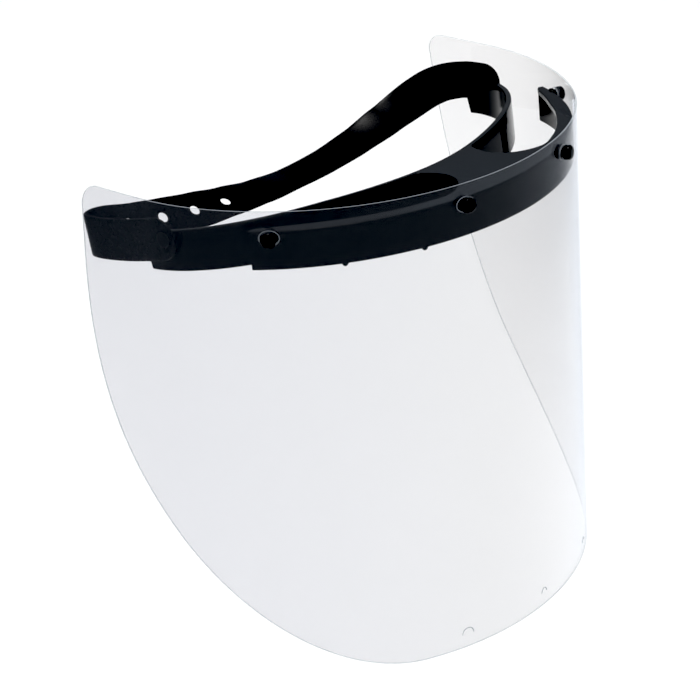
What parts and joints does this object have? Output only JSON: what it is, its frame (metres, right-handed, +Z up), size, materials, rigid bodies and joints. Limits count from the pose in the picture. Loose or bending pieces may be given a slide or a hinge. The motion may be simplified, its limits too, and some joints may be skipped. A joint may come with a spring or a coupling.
{
  "type": "face shield",
  "caption": "Full-face shield: a black moulded crown frame with a brim on studs, a clear wrapped visor and a buttoned rear strap.",
  "frame": {"origin": "centre of the head opening, between the strap pegs' arms and level with the brim's lower edge", "axes": "the wearer faces -Y, +X is the wearer's left, +Z is up"},
  "size_m": [0.2128, 0.1258, 0.1862],
  "materials": {
    "frame_black": "black injection moulding, glossy",
    "visor_clear": "clear thin sheet, glossy",
    "strap_black": "black flexible belt, satin"
  },
  "bodies": {
    "shield": {"brim_band": "frame_black", "forehead_band": "frame_black", "temple_arm_right": "frame_black", "temple_arm_left": "frame_black", "forehead_rib_right": "frame_black", "forehead_rib_left": "frame_black", "bridge_plate": "frame_black", "visor_peg_right_outer": "frame_black", "visor_peg_right_inner": "frame_black", "visor_peg_left_inner": "frame_black", "visor_peg_left_outer": "frame_black", "strap_peg_right": "frame_black", "strap_peg_left": "frame_black", "visor": "visor_clear"},
    "strap": {"rear_strap": "strap_black"}
  },
  "joints": [
    {"name": "strap_swing", "type": "hinge", "parent": "shield", "child": "strap", "pos_m": [0, -0.0063, 0.0092], "axis": [1, 0, 0], "range_deg": [-14, 35]}
  ]
}
